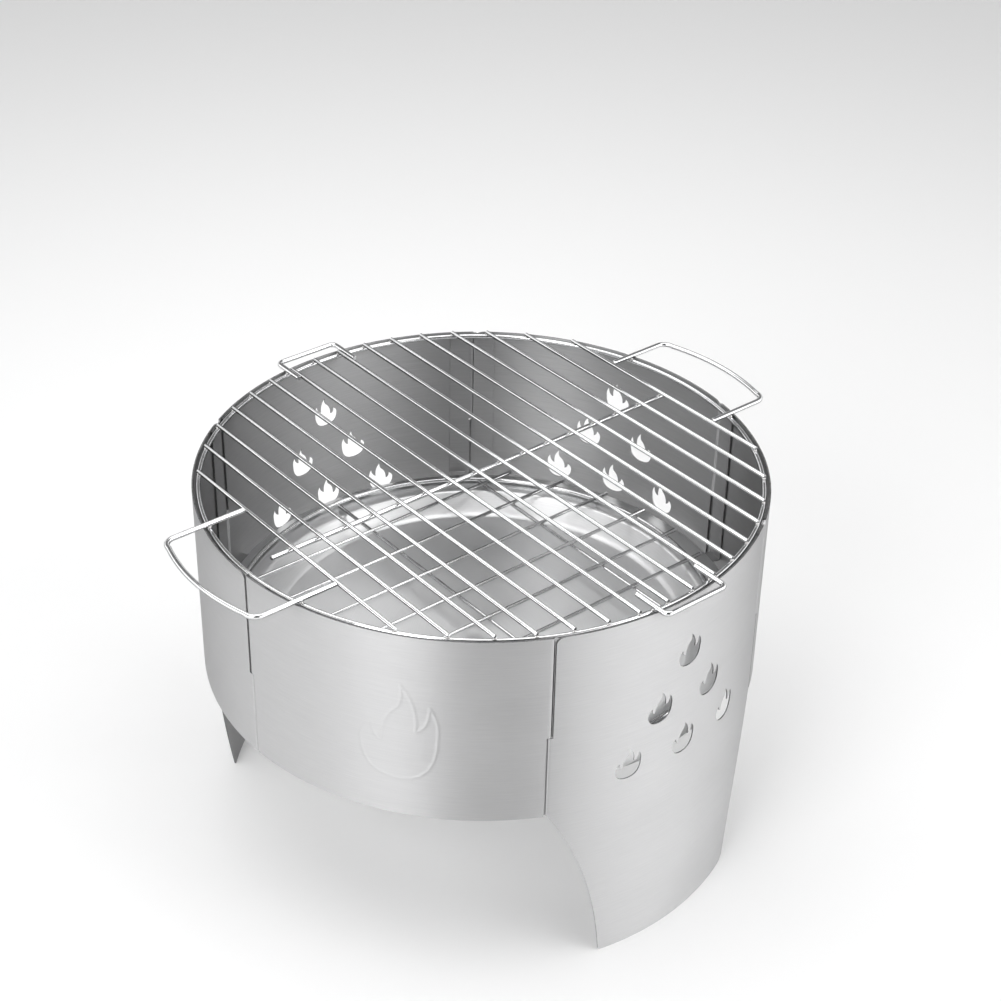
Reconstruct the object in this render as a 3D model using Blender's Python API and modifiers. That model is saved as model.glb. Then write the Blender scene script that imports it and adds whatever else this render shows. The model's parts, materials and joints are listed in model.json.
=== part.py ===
"""Portable tabletop charcoal grill: a ring of six curved sheet panels that slot into each other,
an ash pan, a charcoal grate and a cooking grate with two wire handles.

The origin is on the table under the middle of the body. +Z is up, the handles are on +X and -X,
and the bars of the cooking grate run along Y. Angles are anticlockwise from +X, seen from above.
"""

import math
from collections import namedtuple

import bmesh
import bpy

# Body
BODY_RADIUS = 0.165
RIM_HEIGHT = 0.231
PANEL_HEIGHT = 0.119
SHEET = 0.0008
GAP = 0.0003
HEM_Z = RIM_HEIGHT - PANEL_HEIGHT
FACET = math.radians(4.0)

# Half-lap joint between two panels
TAB_WIDTH = 0.0144
TAB_DROP = 0.0005
TAB_DROP_FROM = 0.0022
TAB_DROP_TO = 0.0030
SLOT_HALF = 0.0019
JOGGLE_START = 0.0001
JOGGLE_END = 0.0014
LAP_HEIGHT = RIM_HEIGHT - 0.065
CORNER_ACROSS = 0.0055
CORNER_DOWN = 0.0036
CORNER_STEPS = 3
STEP_IN = SHEET + GAP

# Ledges folded in from the tabs of the leg panels, which carry the pan
LEDGE_Z = RIM_HEIGHT - 0.1057
LEDGE_LENGTH = 0.0110
LEDGE_START = 0.0040
RELIEF = 0.0010

# Legs. Each side runs from a top corner on the hem to its foot, both as distances from the panel's
# seam, and curves past a bend given as parts of its own width and height.
LEG_STEPS = 8
FOOT_STEPS = 3
LEAN_STEPS = 3
LegSide = namedtuple("LegSide", "top foot bend_across bend_up foot_corner")
Leg = namedtuple("Leg", "first last lean_in")
SWEPT_SIDE = LegSide(0.0, 0.0350, 0.82, 0.60, 0.0020)
ROUNDED_SIDE = LegSide(0.0, 0.0240, 0.78, 0.45, 0.0075)
WIDE_LEG = Leg(SWEPT_SIDE, ROUNDED_SIDE, 0.001)
NARROW_LEG = Leg(
    LegSide(0.0030, 0.0080, 0.82, 0.60, 0.0020),
    LegSide(0.1371, 0.1284, 0.82, 0.60, 0.0020),
    0.010,
)

# Flame openings
FLAME_WIDTH = 0.0165
FLAME_ROWS = 3
FLAME_TOP = 0.0363
FLAME_ROW_DROP = 0.0301
FLAME_PITCH = 0.0389
FLAME_STEPS = 2

# Ash pan
PAN_RADIUS = 0.1575
PAN_FLANGE_INNER = 0.1370
PAN_FLOOR_RADIUS = 0.1240
PAN_FLOOR_BEND = 0.0040
PAN_BOWL_STEPS = 4
PAN_DEPTH = 0.0125
PAN_FLANGE_Z = LEDGE_Z + SHEET / 2 + GAP + SHEET
PAN_STEPS = 48

# Charcoal grate
CHARCOAL_SHIFT_Y = 0.005
CHARCOAL_RING_RADIUS = 0.1450
CHARCOAL_RING_WIRE = 0.0015
CHARCOAL_BAR_WIRE = 0.0011
CHARCOAL_BAR_REACH = 0.1520
CHARCOAL_BARS = 8
CHARCOAL_PITCH = 0.0292
CHARCOAL_CROSS_X = (-0.090, 0.0, 0.090)
CHARCOAL_CROSS_REACH = 0.1415
CHARCOAL_RING_Z = PAN_FLANGE_Z + GAP + CHARCOAL_RING_WIRE
CHARCOAL_BAR_Z = CHARCOAL_RING_Z + CHARCOAL_RING_WIRE + GAP + CHARCOAL_BAR_WIRE
CHARCOAL_CROSS_Z = CHARCOAL_BAR_Z - 2 * CHARCOAL_BAR_WIRE - GAP

# Cooking grate
COOKING_RING_RADIUS = 0.1613
COOKING_RING_WIRE = 0.0014
COOKING_BAR_WIRE = 0.0012
COOKING_BARS = 16
COOKING_PITCH = 0.01804
COOKING_SHIFT_X = 0.004
COOKING_BAR_REACH = 0.1617
HANDLE_WIRE = 0.0015
COOKING_RING_Z = RIM_HEIGHT - COOKING_RING_WIRE
COOKING_BAR_Z = RIM_HEIGHT + GAP + COOKING_BAR_WIRE
CROSS_WIRE_Z = RIM_HEIGHT - HANDLE_WIRE
CROSS_WIRE_ENDS = (-0.1440, 0.1440)
LOOP_Z = RIM_HEIGHT + GAP + HANDLE_WIRE

# Wire handles and the two locating loops
HANDLE_HALF = 0.0442
HANDLE_CORNER_X = 0.1848
HANDLE_BULGE = 0.0055
HANDLE_BEND = 0.0070
LOOP_HALF = 0.021
LOOP_CENTRES = {"front_tab_loop": 0.007, "back_tab_loop": -0.005}
LOOP_INNER_Y = 0.147
LOOP_OUTER_Y = 0.1705
LOOP_BEND = 0.0035

RING_STEPS = 60
WIRE_SIDES = 8
BEND_STEPS = 4

# Panels: first seam and last seam in degrees, the leg, and how far the group of flame openings lies
# along the sheet and up from its usual place
PANELS = {
    "front_leg_panel": (244.2, 303.8, WIDE_LEG, (0.0, 0.0)),
    "right_front_panel": (303.8, 349.0, None, None),
    "right_leg_panel": (349.0, 413.5, WIDE_LEG, (-0.0060, 0.0020)),
    "back_panel": (53.5, 123.0, None, (0.0008, -0.0055)),
    "left_leg_panel": (123.0, 182.6, NARROW_LEG, None),
    "left_front_panel": (182.6, 244.2, None, None),
}

# One flame as quadratic curves, each from the end of the last: control point, then end point.
# The unit is the flame's width.
FLAME_START = (0.50, 0.05)
FLAME_CURVES = (
    ((0.50, -0.57), (0.00, -0.57)),
    ((-0.50, -0.57), (-0.50, -0.10)),
    ((-0.48, 0.05), (-0.34, 0.12)),
    ((-0.36, -0.06), (-0.22, -0.10)),
    ((-0.22, 0.22), (0.00, 0.38)),
    ((0.06, 0.48), (0.04, 0.65)),
    ((0.26, 0.42), (0.22, 0.08)),
    ((0.38, 0.12), (0.40, 0.40)),
    ((0.52, 0.25), FLAME_START),
)


def clear_scene():
    """Remove the scene's objects, so that only the model is left."""
    for thing in list(bpy.data.objects):
        bpy.data.objects.remove(thing, do_unlink=True)


def make_collection(name):
    collection = bpy.data.collections.new(name)
    bpy.context.scene.collection.children.link(collection)
    return collection


def make_material(name, colour, roughness):
    """Bare metal as a Principled material."""
    material = bpy.data.materials.new(name)
    material.use_nodes = True
    shader = material.node_tree.nodes["Principled BSDF"]
    shader.inputs["Base Color"].default_value = (*colour, 1.0)
    shader.inputs["Metallic"].default_value = 1.0
    shader.inputs["Roughness"].default_value = roughness
    material.diffuse_color = (*colour, 1.0)
    return material


def make_empty(name, height, collection, shift_y=0.0):
    empty = bpy.data.objects.new(name, None)
    empty.location = (0.0, shift_y, height)
    collection.objects.link(empty)
    return empty


def quadratic(start, control, end, steps):
    """Points on a quadratic curve, without its start."""
    points = []
    for step in range(1, steps + 1):
        t = step / steps
        u = 1.0 - t
        points.append(tuple(u * u * a + 2 * u * t * b + t * t * c for a, b, c in zip(start, control, end)))
    return points


def arc(centre, radius, first, last, steps):
    """Points on an arc, both ends included, with its angles in degrees."""
    points = []
    for step in range(steps + 1):
        angle = math.radians(first + (last - first) * step / steps)
        points.append((centre[0] + radius * math.cos(angle), centre[1] + radius * math.sin(angle)))
    return points


def tab_top(seam):
    """The top edge past the seam: level with the rim, then dropped a little."""
    return [
        (seam + TAB_DROP_FROM, RIM_HEIGHT),
        (seam + TAB_DROP_TO, RIM_HEIGHT - TAB_DROP),
        (seam + TAB_WIDTH, RIM_HEIGHT - TAB_DROP),
    ]


def plain_side(seam):
    """One side of a plain panel, from the rim down: its slot is open at the hem."""
    low = LAP_HEIGHT + GAP / 2
    return tab_top(seam) + [
        (seam + TAB_WIDTH, HEM_Z),
        (seam + SLOT_HALF, HEM_Z),
        (seam + SLOT_HALF, low),
        (seam - SLOT_HALF, low),
        (seam - SLOT_HALF, HEM_Z),
    ]


def leg_panel_side(seam, leg):
    """One side of a leg panel, from the rim down to the foot: its slot is open at the rim."""
    high = LAP_HEIGHT - GAP / 2
    slot_edge = seam - SLOT_HALF
    corner = arc((0.0, 0.0), 1.0, 90, 0, CORNER_STEPS)
    ledge = seam + LEDGE_START
    ledge_end = LEDGE_Z - LEDGE_LENGTH
    points = []
    for x, z in corner:
        points.append((slot_edge - CORNER_ACROSS * (1.0 - x), RIM_HEIGHT - CORNER_DOWN * (1.0 - z)))
    points += [
        (slot_edge, high),
        (seam + SLOT_HALF, high),
        (seam + SLOT_HALF, RIM_HEIGHT - TAB_DROP),
        (seam + TAB_WIDTH, RIM_HEIGHT - TAB_DROP),
        (seam + TAB_WIDTH, ledge_end),
        (ledge, ledge_end),
        (ledge, LEDGE_Z + RELIEF),
        (ledge - RELIEF, LEDGE_Z + RELIEF),
        (ledge - RELIEF, HEM_Z),
    ]
    top = seam - leg.top
    foot = seam - leg.foot
    points.append((top, HEM_Z))
    bend = (top + leg.bend_across * (foot - top), leg.bend_up * HEM_Z)
    points += quadratic((top, HEM_Z), bend, (foot, leg.foot_corner), LEG_STEPS)
    points += quadratic((foot, leg.foot_corner), (foot, 0.0), (foot - leg.foot_corner, 0.0), FOOT_STEPS)
    return points


def panel_outline(half_width, leg):
    """A panel laid flat: distance along the sheet from its middle, and height."""
    if leg is None:
        last = plain_side(half_width)
        first = plain_side(half_width)
    else:
        last = leg_panel_side(half_width, leg.last)
        first = leg_panel_side(half_width, leg.first)
    return last + [(-s, z) for s, z in reversed(first)]


def flame_outline(centre_s, centre_z):
    points = []
    start = FLAME_START
    for control, end in FLAME_CURVES:
        points += quadratic(start, control, end, FLAME_STEPS)
        start = end
    return [(centre_s + x * FLAME_WIDTH, centre_z + y * FLAME_WIDTH) for x, y in points]


def flame_outlines(along, up):
    """Six flames, in rows of one, two and three."""
    outlines = []
    for row in range(FLAME_ROWS):
        z = RIM_HEIGHT - FLAME_TOP - row * FLAME_ROW_DROP + up
        for place in range(row + 1):
            outlines.append(flame_outline((place - row / 2) * FLAME_PITCH + along, z))
    return outlines


def flat_plate(name, outlines, thickness):
    """A filled 2D curve with thickness, made a mesh."""
    curve = bpy.data.curves.new(name, "CURVE")
    curve.dimensions = "2D"
    curve.fill_mode = "BOTH"
    curve.extrude = thickness / 2
    for outline in outlines:
        spline = curve.splines.new("POLY")
        spline.points.add(len(outline) - 1)
        for point, (x, y) in zip(spline.points, outline):
            point.co = (x, y, 0.0, 1.0)
        spline.use_cyclic_u = True
    flat = bpy.data.objects.new(name + "_flat", curve)
    bpy.context.scene.collection.objects.link(flat)
    evaluated = flat.evaluated_get(bpy.context.evaluated_depsgraph_get())
    mesh = bpy.data.meshes.new_from_object(evaluated)
    mesh.name = name
    bpy.data.objects.remove(flat, do_unlink=True)
    return mesh


def cut_lines(shape, axis, places, beyond=0.0):
    """Add edges across the plate where it will bend, on the faces beyond a distance from its middle."""
    normal = (1.0, 0.0, 0.0) if axis == 0 else (0.0, 1.0, 0.0)
    for place in places:
        point = (place * normal[0], place * normal[1], 0.0)
        faces = [face for face in shape.faces if all(abs(vert.co.x) >= beyond for vert in face.verts)]
        edges = list({edge for face in faces for edge in face.edges})
        verts = list({vert for face in faces for vert in face.verts})
        bmesh.ops.bisect_plane(shape, geom=verts + edges + faces, dist=1e-6, plane_co=point, plane_no=normal)


def inward_step(distance_past_seam):
    """How far the sheet is set in: nothing on the body, one sheet and a gap on the tab."""
    part = (distance_past_seam - JOGGLE_START) / (JOGGLE_END - JOGGLE_START)
    return STEP_IN * min(1.0, max(0.0, part))


def roll_point(s, z, offset, half_width, leg):
    """Where a point of the flat plate lies once the panel is rolled, set in and folded."""
    past_seam = abs(s) - half_width
    radius = BODY_RADIUS - SHEET / 2 - inward_step(past_seam)
    angle = s / BODY_RADIUS
    on_ledge = leg is not None and past_seam > LEDGE_START - RELIEF / 2 and z < LEDGE_Z + 1e-6
    if on_ledge:
        fold = LEDGE_Z - z
        if fold < 1e-6:
            radius += offset
        radius -= fold
        z = LEDGE_Z - offset
    else:
        radius += offset
        if leg is not None and z < HEM_Z:
            radius -= leg.lean_in * (1.0 - z / HEM_Z) ** 2
    return radius * math.cos(angle), radius * math.sin(angle), z


def make_panel(name, first_seam, last_seam, leg, flames, material, collection):
    """A rolled sheet panel, turned to its place round the body."""
    half_width = BODY_RADIUS * math.radians(last_seam - first_seam) / 2
    outlines = [panel_outline(half_width, leg)]
    if flames is not None:
        outlines += flame_outlines(*flames)
    mesh = flat_plate(name, outlines, SHEET)
    shape = bmesh.new()
    shape.from_mesh(mesh)
    bmesh.ops.remove_doubles(shape, verts=shape.verts, dist=1e-6)
    reach = half_width + TAB_WIDTH
    count = int(reach / (FACET * BODY_RADIUS))
    places = [FACET * BODY_RADIUS * step for step in range(-count, count + 1)]
    for side in (-1, 1):
        places += [side * (half_width + JOGGLE_START), side * (half_width + JOGGLE_END)]
    cut_lines(shape, 0, places)
    if leg is not None:
        cut_lines(shape, 1, [LEDGE_Z], half_width + JOGGLE_END - GAP)
        cut_lines(shape, 1, [HEM_Z * step / LEAN_STEPS for step in range(1, LEAN_STEPS)])
    for vert in shape.verts:
        s, z, offset = vert.co
        vert.co = roll_point(s, z, offset, half_width, leg)
    bmesh.ops.remove_doubles(shape, verts=shape.verts, dist=2e-6)
    bmesh.ops.recalc_face_normals(shape, faces=shape.faces)
    shape.to_mesh(mesh)
    shape.free()
    mesh.shade_smooth()
    mesh.set_sharp_from_angle(angle=math.radians(30))
    mesh.materials.append(material)
    panel = bpy.data.objects.new(name, mesh)
    panel.rotation_euler.z = math.radians((first_seam + last_seam) / 2)
    collection.objects.link(panel)
    return panel


def make_pan(material, collection):
    """A shallow round pan with a wide flange: a turned surface, thickened."""
    bend = (PAN_FLOOR_RADIUS + PAN_FLOOR_BEND, -PAN_DEPTH)
    bowl = quadratic((PAN_FLANGE_INNER, 0.0), bend, (PAN_FLOOR_RADIUS, -PAN_DEPTH), PAN_BOWL_STEPS)
    profile = [(PAN_RADIUS, 0.0), (PAN_FLANGE_INNER, 0.0)] + bowl + [(0.0, -PAN_DEPTH)]
    mesh = bpy.data.meshes.new("ash_pan")
    verts = [(x, 0.0, z) for x, z in profile]
    edges = [(i, i + 1) for i in range(len(verts) - 1)]
    mesh.from_pydata(verts, edges, [])
    mesh.materials.append(material)
    pan = bpy.data.objects.new("ash_pan", mesh)
    pan.location.z = PAN_FLANGE_Z
    collection.objects.link(pan)
    turn = pan.modifiers.new("turn", "SCREW")
    turn.axis = "Z"
    turn.steps = PAN_STEPS
    turn.render_steps = PAN_STEPS
    turn.use_merge_vertices = True
    turn.merge_threshold = 0.00001
    turn.use_normal_calculate = True
    wall = pan.modifiers.new("wall", "SOLIDIFY")
    wall.thickness = SHEET
    wall.use_even_offset = True
    wall.offset = -1.0
    return pan


def make_ring(name, radius, wire, height, parent, material, collection):
    bpy.ops.mesh.primitive_torus_add(
        major_segments=RING_STEPS, minor_segments=WIRE_SIDES, major_radius=radius, minor_radius=wire
    )
    ring = bpy.context.active_object
    for owner in list(ring.users_collection):
        owner.objects.unlink(ring)
    collection.objects.link(ring)
    ring.name = name
    ring.data.name = name
    ring.data.materials.append(material)
    ring.data.shade_smooth()
    ring.parent = parent
    ring.location = (0.0, 0.0, height - parent.location.z)
    return ring


def make_wire(name, points, wire, parent, material, collection):
    """A wire bent through the points, which are at its own height under its parent."""
    curve = bpy.data.curves.new(name, "CURVE")
    curve.dimensions = "3D"
    curve.bevel_depth = wire
    curve.bevel_resolution = 2
    curve.use_fill_caps = True
    spline = curve.splines.new("POLY")
    spline.points.add(len(points) - 1)
    for point, (x, y, z) in zip(spline.points, points):
        point.co = (x, y, z - parent.location.z, 1.0)
    curve.materials.append(material)
    bent = bpy.data.objects.new(name, curve)
    bent.parent = parent
    collection.objects.link(bent)
    return bent


def half_chord(offset, reach):
    return math.sqrt(reach * reach - offset * offset)


def rounded_loop(inner, outer, half, bend, bulge):
    """A U of wire in plan: two legs along the first axis, bent into an outer side that may bow out."""
    path = [(inner, -half)]
    path += arc((outer - bend, bend - half), bend, -90, 0, BEND_STEPS)
    side = 6 if bulge else 0
    for step in range(1, side):
        across = -1.0 + 2.0 * step / side
        path.append((outer + bulge * (1.0 - across * across), across * (half - bend)))
    path += arc((outer - bend, half - bend), bend, 0, 90, BEND_STEPS)
    path.append((inner, half))
    return path


def make_charcoal_grate(material, collection):
    parent = make_empty("charcoal_grate", CHARCOAL_RING_Z, collection, CHARCOAL_SHIFT_Y)
    make_ring(
        "charcoal_ring", CHARCOAL_RING_RADIUS, CHARCOAL_RING_WIRE, CHARCOAL_RING_Z,
        parent, material, collection,
    )
    for index in range(CHARCOAL_BARS):
        y = (index - (CHARCOAL_BARS - 1) / 2) * CHARCOAL_PITCH
        reach = half_chord(y, CHARCOAL_BAR_REACH)
        ends = [(-reach, y, CHARCOAL_BAR_Z), (reach, y, CHARCOAL_BAR_Z)]
        make_wire(f"charcoal_bar_{index + 1:02d}", ends, CHARCOAL_BAR_WIRE, parent, material, collection)
    for index, x in enumerate(CHARCOAL_CROSS_X):
        reach = half_chord(x, CHARCOAL_CROSS_REACH)
        ends = [(x, -reach, CHARCOAL_CROSS_Z), (x, reach, CHARCOAL_CROSS_Z)]
        make_wire(f"charcoal_cross_wire_{index + 1}", ends, CHARCOAL_BAR_WIRE, parent, material, collection)


def make_cooking_grate(material, collection):
    parent = make_empty("cooking_grate", COOKING_RING_Z, collection)
    make_ring(
        "cooking_ring", COOKING_RING_RADIUS, COOKING_RING_WIRE, COOKING_RING_Z,
        parent, material, collection,
    )
    first_x = COOKING_SHIFT_X - (COOKING_BARS - 1) / 2 * COOKING_PITCH
    bar_x = [first_x + index * COOKING_PITCH for index in range(COOKING_BARS)]
    for index, x in enumerate(bar_x):
        reach = half_chord(x, COOKING_BAR_REACH)
        ends = [(x, -reach, COOKING_BAR_Z), (x, reach, COOKING_BAR_Z)]
        make_wire(f"cooking_bar_{index + 1:02d}", ends, COOKING_BAR_WIRE, parent, material, collection)
    cross = [(x, 0.0, CROSS_WIRE_Z) for x in CROSS_WIRE_ENDS]
    make_wire("cooking_cross_wire", cross, HANDLE_WIRE, parent, material, collection)
    clearance = COOKING_BAR_WIRE + GAP
    for name, side, end_bar in (("left_handle", -1, bar_x[0]), ("right_handle", 1, bar_x[-1])):
        inner = side * end_bar + clearance
        path = rounded_loop(inner, HANDLE_CORNER_X, HANDLE_HALF, HANDLE_BEND, HANDLE_BULGE)
        points = [(side * x, side * y, LOOP_Z) for x, y in path]
        make_wire(name, points, HANDLE_WIRE, parent, material, collection)
    for name, side in (("front_tab_loop", -1), ("back_tab_loop", 1)):
        path = rounded_loop(LOOP_INNER_Y, LOOP_OUTER_Y, LOOP_HALF, LOOP_BEND, 0.0)
        points = [(LOOP_CENTRES[name] - side * y, side * x, LOOP_Z) for x, y in path]
        make_wire(name, points, HANDLE_WIRE, parent, material, collection)


def main():
    clear_scene()
    collection = make_collection("portable_tabletop_grill")
    steel = make_material("brushed_stainless", (0.62, 0.62, 0.63), 0.34)
    polished = make_material("polished_stainless", (0.72, 0.72, 0.73), 0.16)
    chrome = make_material("chromed_wire", (0.80, 0.80, 0.81), 0.12)
    for name, (first_seam, last_seam, leg, flames) in PANELS.items():
        make_panel(name, first_seam, last_seam, leg, flames, steel, collection)
    make_pan(polished, collection)
    make_charcoal_grate(chrome, collection)
    make_cooking_grate(chrome, collection)


main()
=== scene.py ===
"""Looks of the portable tabletop grill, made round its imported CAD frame.

Units are metres, +Z is up and the origin is on the table under the middle of the body. Angles are
in degrees, anticlockwise from +X. Every panel, pan and wire is a finer mesh than its CAD solid, in
the same place. Wires take their place and size from the CAD solid's box.
"""

import json
import math
import random
from collections import namedtuple

import bmesh
import bpy
from mathutils import Matrix, Quaternion, Vector, noise


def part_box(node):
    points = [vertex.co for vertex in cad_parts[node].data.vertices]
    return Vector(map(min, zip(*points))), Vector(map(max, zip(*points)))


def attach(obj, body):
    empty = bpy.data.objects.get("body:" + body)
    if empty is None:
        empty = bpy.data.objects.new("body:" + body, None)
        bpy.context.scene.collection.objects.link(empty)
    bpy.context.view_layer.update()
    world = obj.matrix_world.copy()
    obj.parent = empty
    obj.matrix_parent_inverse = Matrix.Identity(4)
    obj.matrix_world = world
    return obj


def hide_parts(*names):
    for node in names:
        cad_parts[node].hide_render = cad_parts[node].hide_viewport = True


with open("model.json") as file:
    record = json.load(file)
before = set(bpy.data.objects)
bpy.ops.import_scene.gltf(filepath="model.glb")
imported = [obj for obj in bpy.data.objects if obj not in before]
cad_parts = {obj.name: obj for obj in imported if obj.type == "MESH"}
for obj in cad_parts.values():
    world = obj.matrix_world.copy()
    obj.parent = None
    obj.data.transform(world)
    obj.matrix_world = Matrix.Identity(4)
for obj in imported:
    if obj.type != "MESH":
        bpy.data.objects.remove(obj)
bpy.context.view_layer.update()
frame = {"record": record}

# Body, as in the CAD part
BODY_RADIUS = 0.165
RIM_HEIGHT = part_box("front_leg_panel")[1].z
HEM_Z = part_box("back_panel")[0].z
SHEET = 0.0008
GAP = 0.0003
STEP_IN = SHEET + GAP

# Half-lap joint between two panels, and the ledges that carry the pan
TAB_WIDTH = 0.0144
TAB_DROP = 0.0005
TAB_DROP_FROM = 0.0022
TAB_DROP_TO = 0.0030
SLOT_HALF = 0.0019
JOGGLE_START = 0.0001
JOGGLE_END = 0.0014
LAP_HEIGHT = RIM_HEIGHT - 0.065
CORNER_ACROSS = 0.0055
CORNER_DOWN = 0.0036
CORNER_STEPS = 9
LEDGE_Z = RIM_HEIGHT - 0.1057
LEDGE_LENGTH = 0.0110
LEDGE_START = 0.0040
RELIEF = 0.0010
FOLD_RADIUS = RELIEF
FOLD_STEPS = 6
JOGGLE_STEPS = 4

# Legs. Each side runs from a top corner on the hem to its foot, both as distances from the panel's
# seam, and curves past a bend given as parts of its own width and height.
LEG_STEPS = 24
FOOT_STEPS = 9
LegSide = namedtuple("LegSide", "top foot bend_across bend_up foot_corner")
Leg = namedtuple("Leg", "first last lean_in")
SWEPT_SIDE = LegSide(0.0, 0.0350, 0.82, 0.60, 0.0020)
ROUNDED_SIDE = LegSide(0.0, 0.0240, 0.78, 0.45, 0.0075)
WIDE_LEG = Leg(SWEPT_SIDE, ROUNDED_SIDE, 0.001)
NARROW_LEG = Leg(
    LegSide(0.0030, 0.0080, 0.82, 0.60, 0.0020),
    LegSide(0.1371, 0.1284, 0.82, 0.60, 0.0020),
    0.010,
)

# Flame openings
FLAME_WIDTH = 0.0165
FLAME_ROWS = 3
FLAME_TOP = 0.0363
FLAME_ROW_DROP = 0.0301
FLAME_PITCH = 0.0389
FLAME_STEPS = 6

# Fineness of the sheet panels
GRID_ACROSS = 0.0040
GRID_UP = 0.0080
EDGE_ROUND = 0.00012
FLAT_SIDE = 0.9

# Flame stamped in outline on the left front panel
STAMP_WIDTH = 0.0430
STAMP_TALL = 1.19
STAMP_Z = RIM_HEIGHT - 0.0650
STAMP_S = 0.0085
STAMP_HEIGHT = 0.00011
STAMP_LINE = 0.0009
STAMP_GRID = 0.0008
STAMP_MARGIN = 0.003
STAMP_REACH = 0.85 * STAMP_WIDTH

# Panels: first seam and last seam in degrees, the leg, and how far the group of flame openings lies
# along the sheet and up from its usual place
PANELS = {
    "front_leg_panel": (244.2, 303.8, WIDE_LEG, (0.0, 0.0)),
    "right_front_panel": (303.8, 349.0, None, None),
    "right_leg_panel": (349.0, 413.5, WIDE_LEG, (-0.0060, 0.0020)),
    "back_panel": (53.5, 123.0, None, (0.0008, -0.0055)),
    "left_leg_panel": (123.0, 182.6, NARROW_LEG, None),
    "left_front_panel": (182.6, 244.2, None, None),
}
STAMPED_PANEL = "left_front_panel"

# One flame as quadratic curves, each from the end of the last: control point, then end point.
# The unit is the flame's width.
FLAME_START = (0.50, 0.05)
FLAME_CURVES = (
    ((0.50, -0.57), (0.00, -0.57)),
    ((-0.50, -0.57), (-0.50, -0.10)),
    ((-0.48, 0.05), (-0.34, 0.12)),
    ((-0.36, -0.06), (-0.22, -0.10)),
    ((-0.22, 0.22), (0.00, 0.38)),
    ((0.06, 0.48), (0.04, 0.65)),
    ((0.26, 0.42), (0.22, 0.08)),
    ((0.38, 0.12), (0.40, 0.40)),
    ((0.52, 0.25), FLAME_START),
)

# Ash pan
PAN_FLANGE_INNER = 0.1370
PAN_FLOOR_RADIUS = 0.1240
PAN_SHOULDER = 0.0030
PAN_STEPS = 144

# Wire handles and locating loops
HANDLE_HALF = 0.0442
HANDLE_CORNER_X = 0.1848
HANDLE_BULGE = 0.0055
HANDLE_BEND = 0.0070
LOOP_HALF = 0.021
LOOP_INNER_Y = 0.147
LOOP_OUTER_Y = 0.1705
LOOP_BEND = 0.0035

WIRE_ROUNDING = 6
WIRE_END = 0.8
RING_STEPS = 240
BEND_STEPS = 10
BEAD_STRETCH = 1.25
BEAD_LUMPS = 0.16
BEAD_LUMP_SCALE = 1.7

BODY_OF_NODE = {}
for body_name, node_names in frame["record"]["behaviour"]["bodies"].items():
    for node_name in node_names:
        BODY_OF_NODE[node_name] = body_name


# ---------------------------------------------------------------- materials


def add_node(tree, kind, place, **settings):
    node = tree.nodes.new(kind)
    node.location = place
    for key, value in settings.items():
        setattr(node, key, value)
    return node


def add_noise(tree, source, stretch, detail, place):
    """Noise stretched along one axis of the source coordinates."""
    mapping = add_node(tree, "ShaderNodeMapping", (place[0], place[1]))
    mapping.inputs["Scale"].default_value = stretch
    tree.links.new(source, mapping.inputs["Vector"])
    texture = add_node(tree, "ShaderNodeTexNoise", (place[0] + 200, place[1]))
    texture.inputs["Scale"].default_value = 1.0
    texture.inputs["Detail"].default_value = detail
    tree.links.new(mapping.outputs["Vector"], texture.inputs["Vector"])
    return texture.outputs["Fac"]


def add_range(tree, source, low, high, place, from_low=0.3, from_high=0.7):
    """Noise between two limits, as a number between low and high."""
    ranged = add_node(tree, "ShaderNodeMapRange", place)
    ranged.inputs["From Min"].default_value = from_low
    ranged.inputs["From Max"].default_value = from_high
    ranged.inputs["To Min"].default_value = low
    ranged.inputs["To Max"].default_value = high
    tree.links.new(source, ranged.inputs["Value"])
    return ranged.outputs["Result"]


def add_math(tree, operation, first, second, place):
    node = add_node(tree, "ShaderNodeMath", place, operation=operation)
    for socket, value in zip(node.inputs, (first, second)):
        if isinstance(value, (int, float)):
            socket.default_value = value
        else:
            tree.links.new(value, socket)
    return node.outputs["Value"]


def add_grey(tree, source, dark, light, place):
    """Two greys, each a colour, mixed by a number from 0 to 1."""
    mix = add_node(tree, "ShaderNodeMix", place, data_type="RGBA")
    mix.inputs["A"].default_value = (*dark, 1.0)
    mix.inputs["B"].default_value = (*light, 1.0)
    tree.links.new(source, mix.inputs["Factor"])
    return mix.outputs["Result"]


def metal(name, edge_tint, anisotropy=0.0, turn=0.0):
    """A bare metal material with its shader, before its textures.

    The edge tint dims it where the look is a grazing one.
    """
    material = bpy.data.materials.new(name)
    material.use_nodes = True
    tree = material.node_tree
    shader = tree.nodes["Principled BSDF"]
    shader.inputs["Metallic"].default_value = 1.0
    shader.inputs["Specular Tint"].default_value = (edge_tint, edge_tint, edge_tint, 1.0)
    shader.inputs["Anisotropic"].default_value = anisotropy
    shader.inputs["Anisotropic Rotation"].default_value = turn
    return material, tree, shader


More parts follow.
